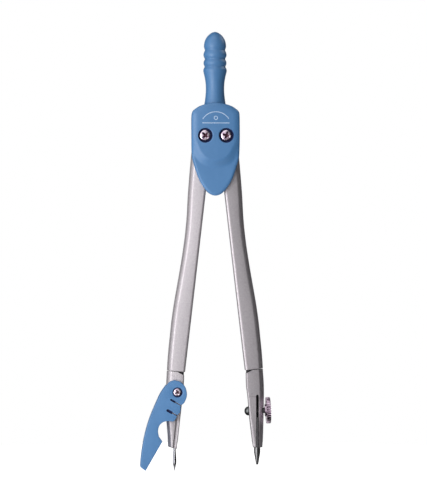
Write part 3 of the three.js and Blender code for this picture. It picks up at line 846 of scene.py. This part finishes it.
def toothed_hub(x, centres):
    """Outline of a hub with involute teeth centred on the given angles, round elsewhere."""
    base = PIVOT_X * math.cos(PRESSURE_ANGLE)
    thin = math.pi / (2 * TEETH) - BACKLASH / (2 * PIVOT_X)
    involute = lambda angle: math.tan(angle) - angle
    half = lambda r: thin + involute(PRESSURE_ANGLE) - involute(math.acos(min(1, base / r)))
    flank = [ROOT_R, *np.linspace(base, TIP_R, 6)]
    points = []
    for centre in np.radians(centres):
        points += [(r, centre - half(r)) for r in flank] + [(r, centre + half(r)) for r in flank[::-1]]
    gap = math.pi / TEETH
    start, stop = math.radians(centres[-1]) + gap, math.radians(centres[0]) - gap + 2 * math.pi
    points += [(TIP_R, a) for a in np.linspace(start, stop, 40)]
    return [(x + r * math.cos(a), r * math.sin(a)) for r, a in points]


def knee_tongue(side, room):
    """The knee's tongue or, with room, the fork that it turns in."""
    radius, half = 1.7 + room, 0.7 + (0.1 if room else 0)
    inwards = 4 if room else radius
    cheek = bore(radius, -half, half, along_y(side * KNEE_X, KNEE_Z))
    a, b = sorted([side * (KNEE_X - inwards), side * (KNEE_X + radius)])
    return cheek, block(a, b, -half + 1e-3, half - 1e-3, KNEE_Z - 6, KNEE_Z)


def pin_hole(side, front):
    return bore(0.86, front, 3, along_y(side * KNEE_X, KNEE_Z), 40)


def upper_leg(side, node, body, centres):
    x = side * PIVOT_X
    stations = heights(-4.2, SEAM_Z[side], 1.1, (0.0, SEAM_SLOPE), (0.2, 0.08))
    arm = bar(side, UPPER_OUTER, upper_inner, stations, leg_corners, leg_radii)
    hub = plate(toothed_hub(x, centres), -HUB_HALF, HUB_HALF)
    a, b = sorted([x - side * 2.3, x + side * 3.4])
    neck = block(a, b, -HUB_HALF + 0.01, HUB_HALF - 0.01, -6, -1.6)
    leg = join(arm, neck, hub)
    leg = cut(leg, bore(PIVOT_HOLE, -3, 3, along_y(x, 0)), *knee_tongue(side, 0.25), pin_hole(side, -1.3))
    settle(leg, f"{node}_casting", body, [node], SILVER)


def knee_pin(side, node, body):
    profile = [[0, -1.2], [0.7, -1.2], [0.8, -1.1], [0.8, 1.82], [0.72, 1.92], [0.4, 1.95], [0, 1.95]]
    made = turned(profile, along_y(side * KNEE_X, KNEE_Z), 40)
    settle(made, f"{node}_pin", body, [node], STEEL)


upper_leg(-1, "needle_leg", "needle_leg", [-45, -15, 15, 45, 75, 105])
upper_leg(1, "lead_leg", "lead_leg", [90, 120, 150, 180, 210])
knee_pin(-1, "needle_knee_pin", "needle_leg")
knee_pin(1, "lead_knee_pin", "lead_leg")

KNEE_GAP = 0.15
KNEE_FOLD = math.radians(21)


def fold_relief(side):
    """What the lower leg loses so that it can fold inwards against the seam."""
    slab = block(-15, 15, -6, 6, 0, 20)
    start = Matrix.Translation((SEAM_X - KNEE_X, 0, SEAM_Z[side] - KNEE_GAP - KNEE_Z))
    tilt = Matrix.Rotation(-math.atan(SEAM_SLOPE), 4, "Y")
    fold = Matrix.Rotation(-KNEE_FOLD, 4, "Y")
    slab.data.transform(Matrix.Translation((KNEE_X, 0, KNEE_Z)) @ fold @ start @ tilt)
    if side < 0:
        slab.data.transform(Matrix.Scale(-1, 4, (1, 0, 0)))
        slab.data.flip_normals()
    return slab


def lower_leg(side, leg):
    leg = cut(leg, fold_relief(side))
    return cut(join(leg, *knee_tongue(side, 0)), pin_hole(side, -3))


def in_seam(side):
    """Tells the faces of a lower leg that look into the knee's seam."""
    level = SEAM_Z[side] - KNEE_GAP - 0.035
    return lambda x, y, z: z > level + SEAM_SLOPE * (abs(x) - SEAM_X)


# ---- Needle side ----

NEEDLE_OUTER = edge([
    [-70, 15.2], [-76.8, 15.5], [-84, 15.8], [-91.2, 15.6], [-97, 15.15], [-102, 15.05],
])
NEEDLE_INNER = edge([
    [-70, 9.6], [-75.4, 9.92], [-78.7, 10.05], [-88.3, 11], [-94.1, 11.6], [-99, 12.15],
    [-102, 12.4],
])


def needle_holder():
    """The needle's lower leg, which turns from the leg's section into a stepped nose."""

    def corners(z, i, o):
        nose = float(smoothstep(-87.0, -92.0, z))
        leg = [(i, 1.86), (i + 0.35, LEG_HALF), (i + 1.3, 1.95), (i + 1.6, 1.93)]
        leg += [(o - 1.3, 1.7), (o - 0.45, 0.95), (o, 0.1)]
        low = [(i, 1.0), (i + 0.15, 1.24), (i + 1.1, 1.0), (i + 1.25, 1.68)]
        low += [(o - 0.95, 1.56), (o - 0.12, 0.3), (o, 0.1)]
        return [(a + (c - a) * nose, b + (d - b) * nose) for (a, b), (c, d) in zip(leg, low)]

    def radii(z):
        nose = float(smoothstep(-87.0, -92.0, z))
        return [0.25, 0.25 - 0.1 * nose, 0.2, 0.2, 0.5 - 0.2 * nose, 0.5, 0.1]

    stations = heights(SEAM_Z[-1] - KNEE_GAP, -100.05, 0.6, (SEAM_SLOPE, 0.27), (0.03, 0.2))
    leg = lower_leg(-1, bar(-1, NEEDLE_OUTER, NEEDLE_INNER, stations, corners, radii))
    needle_hole = bore(0.5, -91.4, -103, along_z(NEEDLE_X), 40)
    cut(leg, needle_hole, bore(GUARD_HOLE, -5, 5, along_guard, 40))
    # Faces that look into the knee's seam get a dark look: painted shade.
    darken(leg, SILVER, SHADE_PAINT, in_seam(-1))
    settle(leg, "needle_holder_casting", "needle_lower", ["needle_holder"], SILVER)


def needle():
    profile = [
        [0, -107.15], [0.05, -107.12], [0.12, -106.7], [0.22, -106.2], [0.35, -105.6], [0.47, -105.05],
        [0.55, -104.8], [0.58, -104.6], [0.59, -103.9], [0.57, -103.0], [0.46, -101.6], [0.4, -100.6],
        [0.4, -91.6], [0, -91.6],
    ]
    point = turned(profile, along_z(NEEDLE_X), 48)
    settle(point, "needle_point", "needle_lower", ["needle"], STEEL)


needle_holder()
needle()

GUARD_OUTER = [
    [-13.1, -77.95], [-14.6, -78.5], [-15.7, -79.7], [-17.5, -82.3], [-19.2, -85.9], [-20.9, -90.0],
    [-22.25, -94.4], [-23.2, -98.85], [-23.75, -102.8], [-23.95, -105.3],
]
GUARD_TIP = [[-23.9, -105.7], [-22.4, -106.85], [-22.2, -106.7]]
GUARD_HOOK = [[-16.95, -97.6], [-17.1, -97.35]]
GUARD_NOTCH = [[-18.0, -96.15], [-18.32, -94.3], [-17.95, -92.6], [-16.85, -91.45], [-15.5, -91.05]]
GUARD_LOBES = [
    [[-13.6, -91.2], [-13.05, -90.9], [-12.4, -89.75]],
    [[-11.95, -88.95], [-11.3, -88.2], [-11.12, -87.3], [-11.15, -86.6]],
    [
        [-10.75, -85.9], [-10.0, -85.25], [-9.35, -83.9], [-9.1, -82.5], [-9.4, -80.8], [-10.1, -79.5],
        [-11.4, -78.4],
    ],
]


def guard_outline():
    """The guard in front view: a curved blade with a hooked notch, and three lobes over the leg."""
    parts = [curve(GUARD_OUTER, 5), GUARD_TIP, GUARD_HOOK, curve(GUARD_NOTCH, 5)]
    parts += [curve(lobe, 4) for lobe in GUARD_LOBES]
    return np.vstack([np.array(part, float) for part in parts])


SLOTS = [(-14.2, -84.25, -7.0, -88.4), (-15.25, -87.65, -9.0, -91.1)]
SLOT_WIDE = 0.85


def segment_gap(x, z, x0, z0, x1, z1):
    """Distance from a point to the line between two others."""
    away, along = Vector((x - x0, z - z0)), Vector((x1 - x0, z1 - z0))
    t = min(max(away.dot(along) / along.length_squared, 0), 1)
    return (away - along * t).length


def slot(x0, z0, x1, z1, wide, narrow):
    """What cuts a slot that is round at its closed end and runs out to the guard's edge: a wide pocket
    in the front wall, the same in the rear wall, and a narrow slit on to the edge."""
    start, end = np.array([x0, z0]), np.array([x1, z1])
    ahead = (end - start) / np.linalg.norm(end - start)
    across = np.array([-ahead[1], ahead[0]])
    angles = math.atan2(ahead[1], ahead[0]) + np.linspace(0.5, 1.5, 9) * math.pi
    cap = [start + wide / 2 * np.array([math.cos(a), math.sin(a)]) for a in angles]
    knee, mouth = start + ahead * 1.5, start + ahead * 1.8
    wider, thinner = across * wide / 2, across * narrow / 2
    pocket = [*cap, knee - wider, mouth - thinner, mouth + thinner, knee + wider]
    slit = [knee - thinner, end - thinner, end + thinner, knee + thinner]
    floor = GUARD_OUT - 0.62
    return plate(pocket, -6, -floor), plate(pocket, floor, 6), plate(slit, -6, 6)


def rounded_plate(outline, half, radius):
    """A plate whose edges are rounded, with its outline kept: Blender's own outline bevel does it."""
    data = bpy.data.curves.new("plate", "CURVE")
    data.dimensions = "2D"
    data.fill_mode = "BOTH"
    data.extrude = half - radius
    data.bevel_depth = radius
    data.bevel_resolution = 4
    data.offset = -radius
    line = data.splines.new("POLY")
    line.points.add(len(outline) - 1)
    for point, (x, z) in zip(line.points, outline):
        point.co = (x, z, 0, 1)
    line.use_cyclic_u = True
    made = placed("plate", data)
    bpy.context.view_layer.update()
    mesh = bpy.data.meshes.new_from_object(made.evaluated_get(bpy.context.evaluated_depsgraph_get()))
    bpy.data.objects.remove(made)
    mesh.transform(Matrix.Rotation(math.pi / 2, 4, "X"))
    result = placed("plate", mesh)
    consistent(result, 1e-3)
    return result


CHANNEL_TOP = -83.6


def guard():
    """The needle guard: a channel that closes over the needle, open towards it."""
    outer = curve(GUARD_OUTER, 5)
    body = rounded_plate(guard_outline(), GUARD_OUT, 0.28)
    spine = np.array([(x + 1.0 + 0.4 * smoothstep(-88, -104, z), z) for x, z in outer if z < CHANNEL_TOP])
    channel = [(-30, CHANNEL_TOP), *spine, (-22.0, -112), (0, -112), (0, -70), (-30, -70)]
    bores = [bore(GUARD_HOLE, -6, 6, along_guard, 40)]
    for side in (-1, 1):
        face = side * GUARD_OUT
        lip = [[0, 1], [1.95, 1], [1.95, 0.02], [1.68, -0.05], [1.58, -0.16], [1.56, -0.4], [0, -0.4]]
        lip = [[radius, face + side * out] for radius, out in lip]
        bores.append(turned(lip, along_guard, 48))
    inner = GUARD_OUT - 0.8
    body = cut(body, plate(channel, -inner, inner))
    body = cut(body, *slot(*SLOTS[0], 0.6, 0.3), *slot(*SLOTS[1], SLOT_WIDE, 0.36))
    body = cut(body, *bores)

    # Faces round the screw's counterbore and inside the slots get a dark look: painted shade.
    def recessed(x, y, z):
        away = math.hypot(x - GUARD_X, z - GUARD_Z)
        in_slot = min(segment_gap(x, z, *line) for line in SLOTS) < SLOT_WIDE / 2 + 0.05
        return (away < 1.62 or in_slot) and abs(y) < GUARD_OUT - 0.12

    darken(body, BLUE, SHADE_PLASTIC, recessed)
    settle(body, "needle_guard_moulding", "guard", ["needle_guard"], BLUE)


def guard_fasteners():
    face = -GUARD_OUT
    profile = [
        [0, 2.8], [0.7, 2.8], [0.78, 2.72], [0.78, face + 0.33], [1.2, face + 0.33],
        [1.25, face + 0.28], [1.22, face + 0.16], [1.08, face + 0.06], [0.7, face + 0.01], [0, face],
    ]
    blades, painted_shade = (face, 0.5, 0.92, 0.46), (1.1, face + 0.12, face + 0.9)
    cross_screw("guard_screw", "guard", (GUARD_X, GUARD_Z), profile, 0.45, blades, painted_shade, 56)
    ring = [[0.86, 2.62], [1.35, 2.62], [1.35, 2.84], [1.25, 2.92], [0.95, 2.92], [0.86, 2.84]]
    nut = ring_turned(ring, along_guard, 48)
    settle(nut, "guard_nut_plated", "guard", ["guard_nut"], NICKEL, 30)


guard()
guard_fasteners()

# ---- Lead side ----

LEAD_OUTER = edge([
    [-70, 15.15], [-74.9, 15.35], [-79.7, 15.66], [-84.5, 15.7], [-94.1, 15.48], [-102, 15.15],
])
LEAD_INNER = edge([
    [-70, 9.6], [-75.5, 9.92], [-79.7, 10.05], [-83.5, 10.5], [-90.2, 11.05], [-97.9, 11.95],
    [-102, 12.4],
])
JAW_TOP = -83.2
LEAD_LOW = extent("lead_holder")[0].z


def thickness(z):
    """Half the lead holder's thickness, which draws in towards its nose."""
    return LEG_HALF - 0.35 * float(smoothstep(-92.0, -99.0, z))


def lead_bore():
    return bore(1.05, -89.4, -104, along_z(LEAD_X), 48)


def clamp_bore():
    """The clamp screw's bore, counterbored on the inside for its head."""
    return turned([[0, -6], [1.52, -6], [1.52, -1.35], [0.97, -1.35], [0.97, 6], [0, 6]], along_clamp, 48)


WEB_FRONT = LEG_HALF - 0.65  # front of the web that closes the slot at the back
WEB_INNER = 12.3
WEB_LAP = 1.2


def web_room(gap):
    """Where the holder's web runs behind the slot and behind the jaw's top."""
    behind_slot = block(WEB_INNER - gap, SLOT_OUTER + 0.3, WEB_FRONT - gap, 3, LEAD_LOW - 1, JAW_TOP + 0.5)
    behind_top = block(0, SLOT_OUTER + 0.2, WEB_FRONT - gap, 3.1, JAW_TOP - WEB_LAP - gap, JAW_TOP + 0.4)
    return join(behind_slot, behind_top)


def lead_bar():
    """The lead holder's whole bar, before it is split into holder and jaw."""

    def corners(z, i, o):
        t = thickness(z)
        nose = float(smoothstep(-84.0, -99.0, z))
        face = [(i, t - 0.1 - 0.08 * nose), (i + 0.3 + 0.45 * nose, t), (o - 1.3, t - 0.25)]
        return [*face, (o - 0.3, 0.35), (o, 0.05)]

    stations = heights(SEAM_Z[1] - KNEE_GAP, LEAD_LOW, 0.6, (SEAM_SLOPE, 0.0), (0.03, 0.2))
    return bar(1, LEAD_OUTER, LEAD_INNER, stations, corners, leg_radii)


def in_slot(x, y, z):
    """Whether a face lies inside the slot between the holder and its jaw."""
    inside = 0.3 - thickness(z) < y < WEB_FRONT + 0.05
    return inside and JAW_OUTER - 0.05 < x < SLOT_OUTER + 0.05 and z < JAW_TOP + 0.5


def lead_holder():
    leg = lower_leg(1, lead_bar())
    room = cut(block(0, SLOT_OUTER, -5, 5, -112, JAW_TOP), web_room(0))
    half = (SLOT_OUTER - JAW_OUTER) / 2
    round_top = bore(half, -6, WEB_FRONT, along_y(SLOT_OUTER - half, JAW_TOP), 40)
    leg = cut(leg, room, round_top, lead_bore(), clamp_bore())
    # Faces inside the slot and the knee's seam get a dark look: painted shade.
    seam = in_seam(1)
    darken(leg, SILVER, SHADE_PAINT, lambda x, y, z: in_slot(x, y, z) or seam(x, y, z))
    settle(leg, "lead_holder_casting", "lead_lower", ["lead_holder"], SILVER)


def clamp_jaw():
    above = block(0, 30, -6, 6, JAW_TOP - 0.06, -60)
    beyond = block(JAW_OUTER, 30, -7, 7, -112, -50)
    jaw = cut(lead_bar(), above, beyond, web_room(0.12), lead_bore(), clamp_bore())
    # Faces inside the slot get a dark look: painted shade.
    darken(jaw, SILVER, SHADE_PAINT, in_slot)
    settle(jaw, "clamp_jaw_casting", "jaw", ["clamp_jaw"], SILVER)


def clamp_stud():
    profile = [
        [0, -3.68], [0.45, -3.62], [0.85, -3.44], [1.18, -3.14], [1.38, -2.8], [1.44, -2.5],
        [1.44, -2.05], [1.4, -2.0], [0.9, -2.0], [0.9, 4.3], [0, 4.3],
    ]
    stud = turned(profile, along_clamp, 56)
    # The dome gets the darkened nickel and the shank inside the slot a dark look: both painted shade.
    darken(stud, DULL_SHADED_NICKEL, SHADE_PAINT, lambda x, y, z: x > CLAMP_X - 1.5)
    settle(stud, "clamp_stud_plated", "thumbscrew", ["clamp_stud"], NICKEL)


KNURLS, KNURL_STEPS, KNURL_DEPTH = 32, 6, 0.42
KNOB_EDGE = [
    [3.22, 0.26, 0.2], [3.26, 0.12, 0.6], [3.34, 0.0, 1.0], [4.52, 0.0, 1.0], [4.6, 0.12, 0.6],
    [4.64, 0.26, 0.2],
]


def clamp_knob():
    """The knurled knob. KNOB_EDGE holds distances along it, each with an inset and a depth of knurl."""
    low, high = extent("clamp_knob")
    outer = (high.z - low.z) / 2 - 0.05
    rings = []
    for along, inset, depth in KNOB_EDGE:
        ring = []
        for k in range(KNURLS * KNURL_STEPS):
            wave = abs(((k / KNURL_STEPS) % 1) * 2 - 1)
            radius = outer - inset - KNURL_DEPTH * depth * (1 - smoothstep(0.2, 0.7, wave))
            angle = 2 * math.pi * k / (KNURLS * KNURL_STEPS)
            ring.append(along_clamp(radius * math.cos(angle), along, radius * math.sin(angle)))
        rings.append(ring)
    shoulder = turned([[0, 2.83], [1.85, 2.83], [1.95, 2.92], [1.95, 3.45], [0, 3.45]], along_clamp, 64)
    dish = turned([[0, 4.56], [2.7, 4.56], [2.95, 4.6], [3.1, 4.66], [3.1, 5.3], [0, 5.3]], along_clamp, 72)
    knob = cut(join(skin(rings), shoulder), dish, bore(0.95, 0, 4.43, along_clamp, 56))
    settle(knob, "clamp_knob_plated", "thumbscrew", ["clamp_knob"], KNOB_NICKEL, 30)


def lead():
    profile = [
        [0, -105.25], [0.2, -105.22], [0.36, -105.05], [0.42, -104.8], [1.0, -101.35], [1.02, -101.1],
        [1.02, -90.1], [0.9, -90.0], [0, -90.0],
    ]
    settle(turned(profile, along_z(LEAD_X), 48), "lead_stick", "lead", ["lead"], GRAPHITE)


lead_holder()
clamp_jaw()
clamp_stud()
clamp_knob()
lead()

# ---- Printed mark ----


INK_OVER, INK_UNDER = 0.02, 0.03  # how far the ink stands over the cover and reaches into it


def printed(line, width, name):
    """A thin line of ink laid on the front cover through points across and up."""
    ahead = np.gradient(line, axis=0)
    ahead /= np.linalg.norm(ahead, axis=1, keepdims=True)
    across = np.column_stack([-ahead[:, 1], ahead[:, 0]]) * width / 2
    left, right = line + across, line - across
    lift_left, lift_right = front_height(left), front_height(right)
    rings = []
    for (lx, lz), (rx, rz), hl, hr in zip(left, right, lift_left, lift_right):
        over = [(lx, -hl - INK_OVER, lz), (rx, -hr - INK_OVER, rz)]
        rings.append([*over, (rx, -hr + INK_UNDER, rz), (lx, -hl + INK_UNDER, lz)])
    settle(skin(rings), name, "housing", [], INK)


def arc(x, z, radius, start, stop, count=40):
    """Points of an arc between two angles in degrees, counted from the right."""
    angles = np.radians(np.linspace(start, stop, count))
    return np.column_stack([x + radius * np.cos(angles), z + radius * np.sin(angles)])


printed(arc(0, 2.6, 4.9, 32, 148), 0.22, "mark_arc")
printed(np.column_stack([np.linspace(-4.3, 4.3, 20), np.full(20, 3.95)]), 0.22, "mark_line")
printed(arc(0, 5.55, 0.55, 0, 355, 28), 0.2, "mark_ring")

# ---- Studio ----

VIEW_AZIMUTH = math.radians(-3.3)
FRAME_HEIGHT = 0.160
AIM = Vector((-0.00048, 0.0, -0.0365 + PIVOT_HEIGHT / 1000))


def camera():
    data = bpy.data.cameras.new("camera")
    data.lens = 200
    data.sensor_width = 36
    made = placed("camera", data)
    distance = FRAME_HEIGHT * data.lens / data.sensor_width
    made.location = AIM + Vector((math.sin(VIEW_AZIMUTH), -math.cos(VIEW_AZIMUTH), 0)) * distance
    made.rotation_euler = (math.pi / 2, 0, VIEW_AZIMUTH)
    bpy.context.scene.camera = made


def softbox(name, azimuth, elevation, distance, width, height, power):
    """A soft light aimed at the compass's middle from so many degrees left of the front and up."""
    data = bpy.data.lights.new(name, "AREA")
    data.shape = "RECTANGLE"
    data.size, data.size_y = width, height
    data.energy = power
    made = placed(name, data)
    turn, rise = math.radians(azimuth), math.radians(elevation)
    towards = Vector((-math.sin(turn) * math.cos(rise), -math.cos(turn) * math.cos(rise), math.sin(rise)))
    made.location = AIM + towards * distance
    made.rotation_euler = towards.to_track_quat("Z", "Y").to_euler()


FLOOR_RADIUS = 0.14


def floor():
    low = CAD_BOX[0].z - 0.0004
    angles = np.arange(64) * 2 * math.pi / 64
    mesh = bpy.data.meshes.new("floor")
    rim = [(FLOOR_RADIUS * math.cos(a), FLOOR_RADIUS * math.sin(a), low) for a in angles]
    mesh.from_pydata(rim, [], [tuple(range(64))])
    made = placed("floor", mesh)
    look = Look("floor_white", Roughness=0.9, Base_Color=colour(0.8, 0.8, 0.8), Emission_Strength=0.95)
    look.surface.inputs["Emission Color"].default_value = colour(1, 1, 1)
    mesh.materials.append(look.material)
    made.visible_glossy = False


ROOM_BRIGHT, ROOM_DIM = 1.2, 0.01
ROOM_TOWARDS = -42  # degrees round from the front to where the room is brightest
ROOM_EDGE, ROOM_FULL = 0.36, 0.97
ROOM_RISE = 0.26
WALL_EDGE, WALL_BRIGHT = 0.72, 0.55  # the pale wall behind the compass


def surroundings():
    """A white room that is brightest to the front left, dim on the right and pale straight behind."""
    world = bpy.data.worlds.new("studio")
    world.use_nodes = True
    world.node_tree.nodes.clear()
    room = Nodes(world.node_tree)
    turn = math.radians(ROOM_TOWARDS)
    way = room.node("TexCoord").outputs["Generated"]
    brightest = (math.sin(turn), -math.cos(turn), ROOM_RISE)
    facing = room.node("VectorMath", {0: way, 1: brightest}, operation="DOT_PRODUCT").outputs["Value"]
    front = room.spread(facing, ROOM_EDGE, ROOM_FULL, ROOM_DIM, ROOM_BRIGHT, "SMOOTHSTEP")
    behind = room.node("SeparateXYZ", {0: way}).outputs["Y"]
    wall = room.spread(behind, WALL_EDGE, 1.0, 0.0, WALL_BRIGHT, "SMOOTHSTEP")
    white = colour(1, 1, 1)
    lit = room.node("Background", {"Color": white, "Strength": room.math("MAXIMUM", front, wall)})
    seen = room.node("Background", {"Color": white, "Strength": 1.0})
    straight = room.node("LightPath").outputs["Is Camera Ray"]
    either = room.node("MixShader", {0: straight, 1: lit.outputs[0], 2: seen.outputs[0]})
    room.node("OutputWorld", {0: either.outputs[0]})
    bpy.context.scene.world = world


camera()
surroundings()
softbox("key", 40, -6, 0.7, 0.35, 0.6, 2.5)
softbox("top", 25, 70, 0.8, 0.6, 0.6, 1.2)
softbox("fill", -105, 48, 0.22, 0.1, 0.1, 0.07)
floor()
bpy.context.scene.view_settings.view_transform = "Standard"
